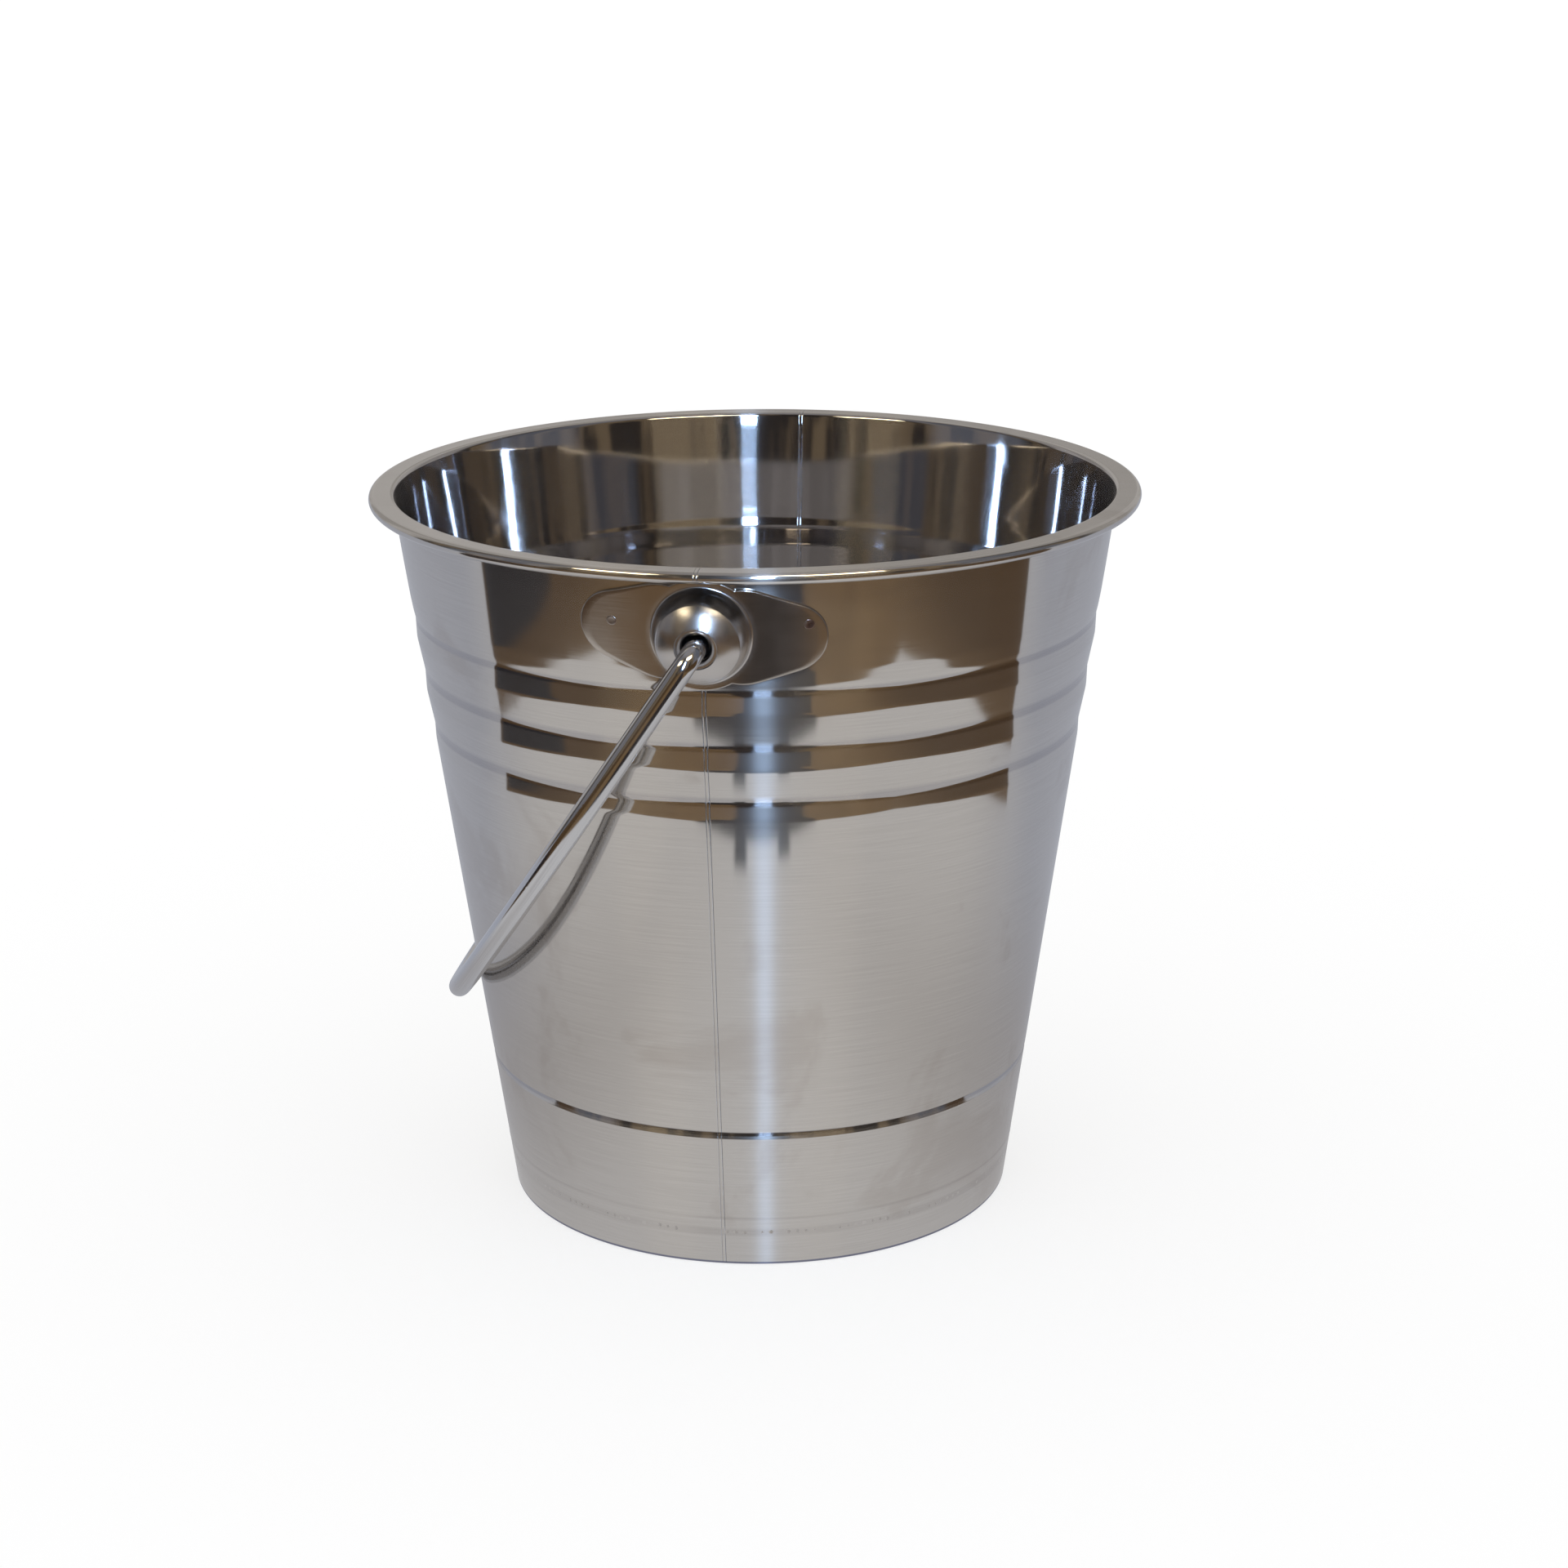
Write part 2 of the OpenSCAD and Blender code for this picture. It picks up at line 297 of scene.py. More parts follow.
def ring_knots():
    """Heights and steps of the pressed rings' lines, from the lowest to the highest."""
    knots = [(RING_Z - RING_LEAD, 0.0)]
    for i in range(RING_COUNT):
        z = RING_Z + i * RING_PITCH
        knots.append((z, -RING_DEPTH))
        if i < RING_COUNT - 1:
            knots.append((z + RING_PITCH - RING_STEP, RING_CREST))
    top = RING_Z + (RING_COUNT - 1) * RING_PITCH
    for share, depth in RING_RUN_OUT:
        knots.append((top + share * RING_TOP_LEAD, -depth * RING_DEPTH))
    return np.array(knots)


def softened(knots, z, softness):
    """Steps between the knots at heights z, with the corners rounded over the softness."""
    spread = np.linspace(-1, 1, 21)
    weights = 1 - np.abs(spread)
    steps = [np.interp(z + softness * s, knots[:, 0], knots[:, 1], 0, 0) for s in spread]
    return np.average(steps, axis=0, weights=weights)


def wall_step(z, groove_softness):
    """How far the wall stands out from a plain cone at heights z."""
    groove = np.array([
        (GROOVE_Z - GROOVE_LOWER, 0),
        (GROOVE_Z, -GROOVE_DEPTH),
        (GROOVE_Z + GROOVE_UPPER, 0),
    ])
    ridge = np.array([
        (RIDGE_Z - RIDGE_HALF, 0),
        (RIDGE_Z, RIDGE_HEIGHT),
        (RIDGE_Z + RIDGE_HALF, 0),
    ])
    step = softened(ring_knots(), z, BEND_SOFTNESS)
    step += softened(groove, z, groove_softness)
    return step + softened(ridge, z, BEND_SOFTNESS)


def wall_heights(top):
    """Heights of the wall's rows: close together over the shapes and far apart on the plain cone."""
    ridge_low = RIDGE_Z - 2.5 * MM
    ridge_high = RIDGE_Z + 2.5 * MM
    rings_low = RING_Z - 7 * MM
    fine_top = RING_Z + (RING_COUNT - 1) * RING_PITCH + RING_TOP_LEAD / 2
    stretches = [
        (0, FOOT_EDGE_R, 4),
        (FOOT_EDGE_R, ridge_low, 5),
        (ridge_low, ridge_high, 10),
        (ridge_high, GROOVE_Z - 3 * MM, 6),
        (GROOVE_Z - 3 * MM, GROOVE_Z - 2.1 * MM, 4),
        (GROOVE_Z - 2.1 * MM, GROOVE_Z + 0.7 * MM, 46),
        (GROOVE_Z + 0.7 * MM, GROOVE_Z + 3 * MM, 8),
        (GROOVE_Z + 3 * MM, rings_low, 14),
        (rings_low, fine_top, 90),
        (fine_top, top, 6),
    ]
    parts = [np.linspace(a, b, count, endpoint=False) for a, b, count in stretches]
    return np.concatenate(parts + [[top]])


def sheet_line(groove_softness):
    """The outside of the wall, the bend and the underside of the rolled bead, as (radius, height)."""
    under_z = PAIL_H - SHEET_T
    bend_z = under_z - RIM_BEND_R
    touch_z = bend_z + RIM_BEND_R * math.sin(TAPER)
    bend_x = wall_r(touch_z) + RIM_BEND_R * math.cos(TAPER)
    bead_centre = (RIM_R - BEAD_R, PAIL_H - BEAD_R)
    z = wall_heights(touch_z)
    wall = np.column_stack([wall_r(z) + wall_step(z, groove_softness), z])
    bend = arc((bend_x, bend_z), RIM_BEND_R, 180 - math.degrees(TAPER), 90, 10)[1:]
    flat = level(np.linspace(bend[-1][0], bead_centre[0], 8)[1:-1], under_z)
    bead = arc(bead_centre, BEAD_R - SHEET_T, 90, BEAD_END, 40)
    return np.concatenate([wall, bend, flat, bead])


def shell_profile():
    """The sheet's two faces as (radius, height): the outside and underside, and the inside and top."""
    outer = sheet_line(GROOVE_SOFTNESS)
    smooth = sheet_line(GROOVE_SOFTNESS_INSIDE)
    inner = smooth + SHEET_T * left_normals(smooth)
    inner[0] = (FOOT_INNER_R, 0)
    for face, towards in ((outer, -1), (inner, 1)):
        low = face[:, 1] < FOOT_EDGE_R
        drop = FOOT_EDGE_R - face[low, 1]
        face[low, 0] += towards * (FOOT_EDGE_R - np.sqrt(FOOT_EDGE_R ** 2 - drop ** 2))
    return outer, inner


# -------------------- the pail's pieces

def shell_half(side):
    """One half of the rolled body, from seam to seam: side is -1 on the left and 1 on the right."""
    outer, inner = shell_profile()
    radius, height = np.concatenate([outer, inner[::-1]]).T[:, :, None]
    start = np.arcsin(SEAM_HALF / radius)
    angle = start + (math.pi - 2 * start) * np.linspace(0, 1, SHELL_COLUMNS)
    points = round_the_axis(radius, side * angle, height)
    return points, sheet_faces(len(points), SHELL_COLUMNS)


def side_seam(front):
    """A side seam's strip of weld metal with two fine creases: front is 1 in front and -1 behind."""
    outer, inner = shell_profile()
    half = SEAM_LINE_HALF
    right = np.array([SEAM_CREST_HALF, SEAM_LINE - half, SEAM_LINE, SEAM_LINE + half, SEAM_HALF])
    x = np.concatenate([-right[::-1], right])
    dip = np.where(np.isclose(np.abs(x), SEAM_LINE), SEAM_DIP, 0)
    sheets = []
    for face, inward in ((outer, 1), (inner, -1)):
        normal = left_normals(face) * inward
        moved = face[:, None, :] + normal[:, None, :] * dip[None, :, None]
        depth = np.sqrt(np.maximum(moved[..., 0] ** 2 - x[None, :] ** 2, 0))
        sheets.append(np.stack([np.broadcast_to(x, depth.shape), -front * depth, moved[..., 1]], 2))
    points = np.concatenate([sheets[0], sheets[1][::-1]])
    return points, sheet_faces(len(points), len(x))


def base_profile():
    """The base's upper face as (radius, height), from the end of the flange to the middle."""
    floor_z = BASE_HIGH.z - PANEL_RISE
    corner_z = floor_z - BASE_CORNER_R
    touch_z = corner_z - BASE_CORNER_R * math.sin(TAPER)
    corner_x = wall_r(touch_z) - SHEET_RUN - BASE_CORNER_R * math.cos(TAPER)
    flange_z = np.linspace(BASE_LOW.z, touch_z, 6)[:-1]
    panel_foot = PANEL_R + 2 * PANEL_RISE
    step = np.linspace(0, 1, 13)
    ease = step * step * (3 - 2 * step)
    return np.concatenate([
        np.column_stack([wall_r(flange_z) - SHEET_RUN, flange_z]),
        arc((corner_x, corner_z), BASE_CORNER_R, -math.degrees(TAPER), 90, 14),
        level(np.linspace(corner_x, panel_foot, 7)[1:-1], floor_z),
        np.column_stack([PANEL_R + 2 * PANEL_RISE * (1 - step), floor_z + PANEL_RISE * ease]),
        level(np.linspace(PANEL_R, BASE_FAN_R, 14)[1:], floor_z + PANEL_RISE),
    ])


def dished_base():
    """The base: a dished sheet whose flange stands inside the wall's foot."""
    upper = base_profile()
    lower = upper + SHEET_T * left_normals(upper)
    radius, height = np.concatenate([upper, lower[::-1]]).T[:, :, None]
    points = round_the_axis(radius, full_turn(BASE_COLUMNS), height)
    faces = grid_faces(len(points), BASE_COLUMNS, wrap_rows=True, wrap_columns=True)
    # Each face ends in a small ring, and a fan inside each ring stands in for the band between them
    upper_ring = (len(upper) - 1) * BASE_COLUMNS
    lower_ring = upper_ring + BASE_COLUMNS
    del faces[upper_ring:lower_ring]
    vertices = np.concatenate([
        points.reshape(-1, 3),
        [(0, 0, upper[-1, 1]), (0, 0, lower[-1, 1])],
    ])
    for ring, middle in ((upper_ring, len(vertices) - 2), (lower_ring, len(vertices) - 1)):
        for j in range(BASE_COLUMNS):
            faces.append((ring + j, ring + (j + 1) % BASE_COLUMNS, middle))
    return vertices, faces


def base_weld():
    """The ring of overlapping weld nuggets that joins the base to the wall, just proud of the wall."""
    columns = np.arange(NUGGETS * NUGGET_COLUMNS)
    angle = columns * 2 * math.pi / len(columns)
    index = columns // NUGGET_COLUMNS
    across = (columns % NUGGET_COLUMNS - (NUGGET_COLUMNS - 1) / 2) / (NUGGET_COLUMNS / 2)
    size = rng.uniform(NUGGET_LEAST, 1.0, NUGGETS)[index]
    lift = rng.normal(0, NUGGET_SCATTER, NUGGETS)[index]
    z = np.linspace(WELD_LOW.z, WELD_HIGH.z, 9)[:, None]
    up = (z - WELD_MIDDLE - lift) / NUGGET_REACH
    bulge = np.clip(1 - up ** 2 - 0.8 * across ** 2, 0, 1) ** 1.5
    outer = wall_r(z) + (NUGGET_HEIGHT * size * bulge - NUGGET_SINK)
    back_z = np.linspace(WELD_HIGH.z, WELD_LOW.z, 3)[:, None]
    back = np.broadcast_to(wall_r(back_z) - WELD_DEPTH, (len(back_z), len(columns)))
    points = round_the_axis(np.concatenate([outer, back]), angle, np.concatenate([z, back_z]))
    return points, grid_faces(len(points), len(columns), wrap_rows=True, wrap_columns=True)


# -------------------- ears

def ear_points(side, u, v, w):
    """Places of points given in an ear's frame: side is -1 for the front ear and 1 for the rear."""
    middle = np.array([0, side * wall_r(EAR_Z), EAR_Z])
    right = np.array([-side * 1.0, 0, 0])
    up = np.array([0, side * math.sin(TAPER), math.cos(TAPER)])
    out = np.array([0, side * math.cos(TAPER), -math.sin(TAPER)])
    return middle + u[..., None] * right + v[..., None] * up + w[..., None] * out


def height_over_wall(u, v, gap):
    """How far out of the ear's middle plane the surface that clears the wall by gap lies at (u, v)."""
    w = np.zeros_like(u)
    for _ in range(4):
        z = EAR_Z + v * math.cos(TAPER) - w * math.sin(TAPER)
        y = wall_r(EAR_Z) + v * math.sin(TAPER) + w * math.cos(TAPER)
        error = np.hypot(u, y) - wall_r(z) - gap / math.cos(TAPER)
        w = w - error * math.cos(TAPER)
    return w


def ear_outline_radius(angle):
    """Distance from the ear's middle to its outline, in directions given in radians."""
    root_x, root_r = WING_ROOT
    tip_x, tip_r = WING_TIP
    notch_x = (EAR_DISC_R ** 2 - root_r ** 2 + root_x ** 2) / (2 * root_x)
    disc_a = math.degrees(math.acos(notch_x / EAR_DISC_R))
    root_a = math.degrees(math.acos((notch_x - root_x) / root_r))
    tangent_a = math.degrees(math.acos((root_r - tip_r) / (tip_x - root_x)))
    quarter = np.concatenate([
        arc((tip_x, 0), tip_r, 0, tangent_a, 60),
        arc((root_x, 0), root_r, tangent_a, root_a, 40),
        arc((0, 0), EAR_DISC_R, disc_a, 90, 40)[1:],
    ])
    direction = np.arctan2(quarter[:, 1], quarter[:, 0])
    distance = np.hypot(quarter[:, 0], quarter[:, 1])
    turned = angle + EAR_TILT
    folded = np.arctan2(np.abs(np.sin(turned)), np.abs(np.cos(turned)))
    fine = np.interp(folded, direction, distance)
    # The straight stretch between tip and root is a chord, so it is worked out in closed form
    t = math.radians(tangent_a)
    chord = (root_x * math.cos(t) + root_r) / np.maximum(np.cos(folded - t), 1e-6)
    a0 = math.atan2(tip_r * math.sin(t), tip_x + tip_r * math.cos(t))
    a1 = math.atan2(root_r * math.sin(t), root_x + root_r * math.cos(t))
    return np.where((folded > a0) & (folded < a1), chord, fine)


def dome_profile():
    """The dome's outer face from the end of the lip to the foot of the shoulder, as (radius, out)."""
    cap_a0 = math.degrees(math.acos(CAP_FOOT_R / CAP_R))
    cap_a1 = math.degrees(math.acos(CAP_TOP_R / CAP_R))
    seat_w = CAP_W + CAP_R * math.sin(math.radians(cap_a1)) - SEAT_DROP
    lip = arc((HOLE_R + LIP_R, seat_w - LIP_R), LIP_R, 180, 90, 12)
    seat = np.array([(SEAT_R, seat_w), (SEAT_R + 0.12 * MM, seat_w + 0.03 * MM)])
    cap = arc((0, CAP_W), CAP_R, cap_a1, cap_a0, 22)
    turn = math.radians(SHOULDER_TURN)
    radius = (DOME_R - CAP_FOOT_R - CREASE_IN) / (1 - math.cos(turn))
    shoulder_w = cap[-1][1] - CREASE_OUT - radius * math.sin(turn)
    shoulder = arc((DOME_R - radius, shoulder_w), radius, SHOULDER_TURN, 0, 24)
    kept = shoulder[shoulder[:, 1] > DOME_CUT_W]
    return np.concatenate([[(HOLE_R, seat_w - LIP_L)], lip, seat, cap, kept])


def ear_pressing(side):
    """One ear: a domed pressing with a hole, on a winged plate that follows the wall."""
    angle = full_turn(EAR_COLUMNS)
    cos = np.cos(angle)
    sin = np.sin(angle)
    top = EAR_GAP + EAR_T
    first = DOME_R + DOME_FILLET
    last = np.maximum(ear_outline_radius(angle) - EAR_EDGE_R, first + EAR_LEAST)
    dome = dome_profile()
    rows = list(dome)
    # Fillet from the dome's side onto the plate
    plate_w = height_over_wall(first * cos, first * sin, top)
    for a in np.radians(np.linspace(0, 90, 7))[:-1]:
        w = plate_w + DOME_FILLET * (1 - math.sin(a))
        rows.append((DOME_R + DOME_FILLET * (1 - math.cos(a)), np.minimum(w, DOME_CUT_W)))
    # The plate's top, its rounded edge and its underside, as radii and gaps to the wall
    plate = [(first + (last - first) * share, top) for share in np.linspace(0, 1, 9)]
    for a in np.radians((30, 60, 90)):
        plate.append((last + EAR_EDGE_R * math.sin(a), top - EAR_EDGE_R * (1 - math.cos(a))))
    plate.append((last + EAR_EDGE_R, EAR_GAP))
    plate += [(first + (last - first) * share, EAR_GAP) for share in (0.66, 0.33, 0.0)]
    plate.append((DOME_R - EAR_T, EAR_GAP))
    for radius, gap in plate:
        rows.append((radius, height_over_wall(radius * cos, radius * sin, gap)))
    # The inside of the dome
    for (r, w), (normal_r, normal_w) in zip(dome[::-1], left_normals(dome)[::-1]):
        least = HOLE_R + LIP_INSIDE if r < SEAT_R else 0
        rows.append((max(r - EAR_T * normal_r, least), w - EAR_T * normal_w))
    radius, w = (np.array([row[k] * np.ones(EAR_COLUMNS) for row in rows]) for k in (0, 1))
    points = ear_points(side, radius * cos, radius * sin, w)
    return points, grid_faces(len(rows), EAR_COLUMNS, wrap_rows=True, wrap_columns=True)


def spot_welds():
    """The four spot welds: each a low ring around a dimple, standing just proud of the ear's plate."""
    angle = full_turn(SPOT_COLUMNS)
    radius, rise = SPOT_PROFILE.T[:, :, None]
    points = []
    faces = []
    for side in (-1, 1):
        for wing in (-1, 1):
            u = wing * SPOT_X + SPOT_SHIFT + radius * np.cos(angle)
            v = SPOT_UP + radius * np.sin(angle)
            w = height_over_wall(u, v, EAR_GAP + EAR_T + rise)
            start = len(points) * u.size
            points.append(ear_points(side, u, v, w))
            faces += [tuple(start + k for k in face) for face in tube_faces(len(radius), SPOT_COLUMNS)]
    return points, faces


# -------------------- bail

def bail_path():
    """Centre line of the bail as (out from the pivots, across), from the front head to the rear head."""
    head_y = wall_r(EAR_Z) + HEAD_OUT
    bend_y = BAIL_HALF - BEND_R
    head = [(0, y) for y in np.linspace(head_y, bend_y, 8)[:-1]]
    bend = arc((BEND_R, bend_y), BEND_R, 180, 90, 16)
    leg = level(np.linspace(BEND_R, LEG_L, 10)[1:-1], BAIL_HALF)
    half = arc((LEG_L, 0), BAIL_HALF, 90, 0, 90)
    front = np.concatenate([head, bend, leg, half])
    rear = front[::-1][1:] * np.array([1, -1])
    return np.concatenate([front, rear]) * np.array([1, -1])


def make_bail(name, material, node):
    """The wire bail with an upset head on each end."""
    path = bail_path()
    along = directions(path)
    rings = [(path[0] + along[0] * distance, along[0], radius) for distance, radius in HEAD_RINGS]
    rings += [(centre, direction, WIRE_R) for centre, direction in zip(path[2:-2], along[2:-2])]
    rings += [(path[-1] - along[-1] * distance, along[-1], radius) for distance, radius in HEAD_RINGS[::-1]]
    turn = full_turn(WIRE_SIDES)
    flat = np.array([-math.cos(HANG), 0, -math.sin(HANG)])
    across = np.array([0.0, 1.0, 0.0])
    raised = np.cross(flat, across)
    points = []
    for (out, y), (d_out, d_y), radius in rings:
        centre = np.array([0, 0, PIVOT_Z]) + out * flat + y * across
        normal = -d_y * flat + d_out * across
        points.append(centre + radius * (np.outer(np.cos(turn), normal) + np.outer(np.sin(turn), raised)))
    shape = (points, tube_faces(len(rings), WIRE_SIDES))
    piece = new_piece(name, shape, material, node, body="bail")
    steps = np.diff([centre for centre, _, _ in rings], axis=0)
    lengths = np.concatenate([[0], np.cumsum(np.linalg.norm(steps, axis=1))])
    store_floats(piece, "along", np.repeat(lengths, WIRE_SIDES))
    store_floats(piece, "around", np.tile(turn, len(rings)))


def store_floats(piece, name, values):
    """Stores one number per vertex, for the piece's material to read."""
    attribute = piece.data.attributes.new(name, "FLOAT", "POINT")
    attribute.data.foreach_set("value", np.asarray(values, np.float32))


# -------------------- shader helpers

def feed(tree, socket, value):
    """Sets a socket to a value, or links it to another node's output."""
    if isinstance(value, bpy.types.NodeSocket):
        tree.links.new(value, socket)
    else:
        socket.default_value = value


def new_node(tree, kind, inputs, **settings):
    """A new node with its settings, and its inputs set or linked unless they are None."""
    node = tree.nodes.new(kind)
    for name, value in settings.items():
        setattr(node, name, value)
    for name, value in inputs.items():
        if value is not None:
            feed(tree, node.inputs[name], value)
    return node


def maths(tree, operation, *values):
    """Output of a Math node."""
    return new_node(tree, "ShaderNodeMath", dict(enumerate(values)), operation=operation).outputs[0]


def chained(tree, operation, values):
    """Several values taken together from left to right."""
    result = values[0]
    for value in values[1:]:
        result = maths(tree, operation, result, value)
    return result


def total(tree, *values):
    """Sum of several values."""
    return chained(tree, "ADD", values)


def difference(tree, *values):
    """The first value less the others."""
    return chained(tree, "SUBTRACT", values)


def product(tree, *values):
    """Product of several values."""
    return chained(tree, "MULTIPLY", values)


def highest(tree, *values):
    """The largest of several values."""
    return chained(tree, "MAXIMUM", values)


def length(tree, x, y):
    """Length of a step with two parts."""
    return maths(tree, "SQRT", total(tree, product(tree, x, x), product(tree, y, y)))


def rising(tree, value, edge, width):
    """0 below an edge and 1 above it, with a smooth change of the given width."""
    inputs = {"Value": value, "From Min": edge - width / 2, "From Max": edge + width / 2}
    node = new_node(tree, "ShaderNodeMapRange", inputs, interpolation_type="SMOOTHSTEP")
    return node.outputs["Result"]


def falling(tree, value, edge, width):
    """1 below an edge and 0 above it."""
    return difference(tree, 1.0, rising(tree, value, edge, width))


def between(tree, value, low, high, width):
    """1 between two edges and 0 outside them."""
    return difference(tree, rising(tree, value, low, width), rising(tree, value, high, width))


def blend(tree, factor, first, second):
    """Mix of two colours."""
    inputs = {"Factor": factor, 6: first, 7: second}
    return new_node(tree, "ShaderNodeMix", inputs, data_type="RGBA").outputs[2]


def blend_values(tree, factor, first, second):
    """Mix of two numbers."""
    inputs = {"Factor": factor, "A": first, "B": second}
    return new_node(tree, "ShaderNodeMix", inputs).outputs["Result"]


def vector(tree, x, y, z):
    """A vector from three values."""
    return new_node(tree, "ShaderNodeCombineXYZ", {"X": x, "Y": y, "Z": z}).outputs[0]


def split(tree, source):
    """The three parts of a vector."""
    return new_node(tree, "ShaderNodeSeparateXYZ", {0: source}).outputs


def noise(tree, source, scale, detail=3, roughness=0.5, distortion=0.0):
    """Noise between 0 and 1 at a place."""
    return new_node(tree, "ShaderNodeTexNoise", {
        "Vector": source,
        "Scale": scale,
        "Detail": detail,
        "Roughness": roughness,
        "Distortion": distortion,
    }).outputs["Fac"]


def scaled_range(tree, value, low, high, new_low, new_high):
    """A value moved from one range to another, clamped."""
    return new_node(tree, "ShaderNodeMapRange", {
        "Value": value,
        "From Min": low,
        "From Max": high,
        "To Min": new_low,
        "To Max": new_high,
    }).outputs["Result"]


def stretched(tree, grain, low=0, high=1):
    """Noise, which mostly lies near 0.5, spread over a range."""
    return scaled_range(tree, grain, 0.3, 0.7, low, high)


def bumped(tree, height, distance, normal=None):
    """Normal bent by a height between 0 and 1, where 1 stands the given distance out."""
    inputs = {"Height": height, "Distance": distance, "Normal": normal}
    return new_node(tree, "ShaderNodeBump", inputs).outputs["Normal"]


def new_material(name, surface, **choices):
    """A material whose surface is made by a function, from the node tree and the choices."""
    material = bpy.data.materials.new(name)
    material.use_nodes = True
    tree = material.node_tree
    tree.nodes.clear()
    new_node(tree, "ShaderNodeOutputMaterial", {"Surface": surface(tree, **choices)})
    return material


def object_place(tree):
    """The place of the shaded point in the piece's own frame, which is the pail's frame at rest."""
    return tree.nodes.new("ShaderNodeTexCoord").outputs["Object"]


def round_the_pail(tree, place):
    """Angle round the pail's axis from the front, distance from the axis and height."""
    x, y, z = split(tree, place)
    return maths(tree, "ARCTAN2", x, product(tree, y, -1)), length(tree, x, y), z


def hoop_direction(tree, place):
    """Direction that runs round the pail's axis."""
    x, y, _ = split(tree, place)
    return vector(tree, product(tree, y, -1), x, 0.0)


def metal(tree, colour, roughness, normal, anisotropy=0.0, tangent=None):
    """A metal surface, which is brushed along the tangent if it has one."""
    return new_node(tree, "ShaderNodeBsdfPrincipled", {
        "Metallic": 1.0,
        "Base Color": colour,
        "Roughness": roughness,
        "Normal": normal,
        "Anisotropic": anisotropy,
        "Anisotropic Rotation": BRUSHED_ROTATION if anisotropy else 0.0,
        "Tangent": tangent,
    }).outputs[0]


def mixed_shader(tree, factor, first, second):
    """Mix of two shaders."""
    return new_node(tree, "ShaderNodeMixShader", {0: factor, 1: first, 2: second}).outputs[0]


# -------------------- materials

# Colours of the clean steel
SHEET_DARK = (0.6, 0.58, 0.56, 1)
SHEET_LIGHT = (0.67, 0.65, 0.63, 1)
SHEET_INSIDE = (0.56, 0.545, 0.55, 1)
BASE_DARK = (0.56, 0.55, 0.53, 1)
BASE_LIGHT = (0.66, 0.64, 0.62, 1)
PLATE_DARK = (0.48, 0.44, 0.4, 1)
PLATE_LIGHT = (0.53, 0.485, 0.445, 1)
DOME_STEEL = (0.55, 0.53, 0.52, 1)
SPOT_STEEL = (0.36, 0.32, 0.3, 1)
WIRE_DARK = (0.58, 0.585, 0.61, 1)
WIRE_LIGHT = (0.66, 0.665, 0.69, 1)
# Colours of its smudges and stains, and painted shade for its foot edge, pressed lines, seam creases and
# dome collar
SHEET_SMUDGE = (0.5, 0.46, 0.43, 1)
FOOT_SHADE = (0.1, 0.12, 0.24, 1)
PRESSED_SHADE_LINE = (0.2, 0.17, 0.17, 1)
SEAM_CREASE_SHADE = (0.1, 0.1, 0.12, 1)
BASE_STAIN = (0.45, 0.42, 0.39, 1)
NUGGET_STAIN = (0.3, 0.27, 0.26, 1)
EAR_SMUDGE = (0.46, 0.43, 0.41, 1)
DOME_CRESCENT_SHADE = (0.05, 0.05, 0.055, 1)
SPOT_TINT = (0.17, 0.1, 0.08, 1)
# The brushed face smears bright lights up and down: how much of it, and how far each way
BRUSHED_ROTATION = 0.25
STREAK_SHARE_OUTSIDE = 0.12
STREAK_SHARE_INSIDE = 0.2
STREAK_ROUGHNESS = 0.33
STREAK_STRETCH_OUTSIDE = 0.78
STREAK_STRETCH_INSIDE = 0.95
HAZE_SHARE = 0.062
HAZE_ROUGHNESS = 0.39
HAZE_STRETCH = 0.45


def brushed_lines(tree, angle, z):
    """Fine lines that run round the pail, between 0 and 1."""
    return noise(tree, vector(tree, product(tree, angle, 3), 0.0, product(tree, z, 2600)), 1.0, 5, 0.7)


def spread_shine(tree, colour, roughness, stretch, tangent, normal):
    """The part of a brushed face that smears lights, mostly across its brush lines if stretched."""
    return new_node(tree, "ShaderNodeBsdfAnisotropic", {
        "Color": colour,
        "Roughness": roughness,
        "Anisotropy": stretch,
        "Tangent": tangent,
        "Normal": normal,
    }, distribution="GGX").outputs[0]


def sheet_waves(tree, angle, z):
    """Slow unevenness of the rolled sheet, between 0 and 1."""
    return noise(tree, vector(tree, product(tree, angle, 4), 0.0, product(tree, z, 26)), 1.0, 1)


def outer_face(tree, radius, z):
    """1 on the outside of the wall and 0 on its inside."""
    middle = total(tree, FOOT_R - SHEET_RUN / 2, product(tree, z, SLOPE))
    return rising(tree, difference(tree, radius, middle), 0.0, 0.1 * MM)


def pressed_shade_lines(tree, place, z):
    """Painted shade: faint darker lines where the wall is pressed over the base's corner and round the
    weld.
    """
    above = between(tree, z, RIDGE_Z + 0.4 * MM, RIDGE_Z + 1.1 * MM, 0.7 * MM)
    below = between(tree, z, WELD_MIDDLE - 1.3 * MM, WELD_MIDDLE + 1.1 * MM, 1.0 * MM)
    patchy = scaled_range(tree, noise(tree, place, 45, 3), 0.35, 0.65, 0.3, 1)
    return product(tree, total(tree, product(tree, above, 0.2), product(tree, below, 0.16)), patchy)


def seam_crease_shade(tree, place):
    """Painted shade along the two fine creases of a side seam: 1 on them, stronger on the right, and 0
    beside them.
    """
    x, _, _ = split(tree, place)
    right = between(tree, x, SEAM_LINE - SEAM_LINE_HALF, SEAM_LINE + SEAM_LINE_HALF, 0.08 * MM)
    left = between(tree, x, -SEAM_LINE - SEAM_LINE_HALF, -SEAM_LINE + SEAM_LINE_HALF, 0.08 * MM)
    return total(tree, product(tree, right, 0.7), product(tree, left, 0.45))


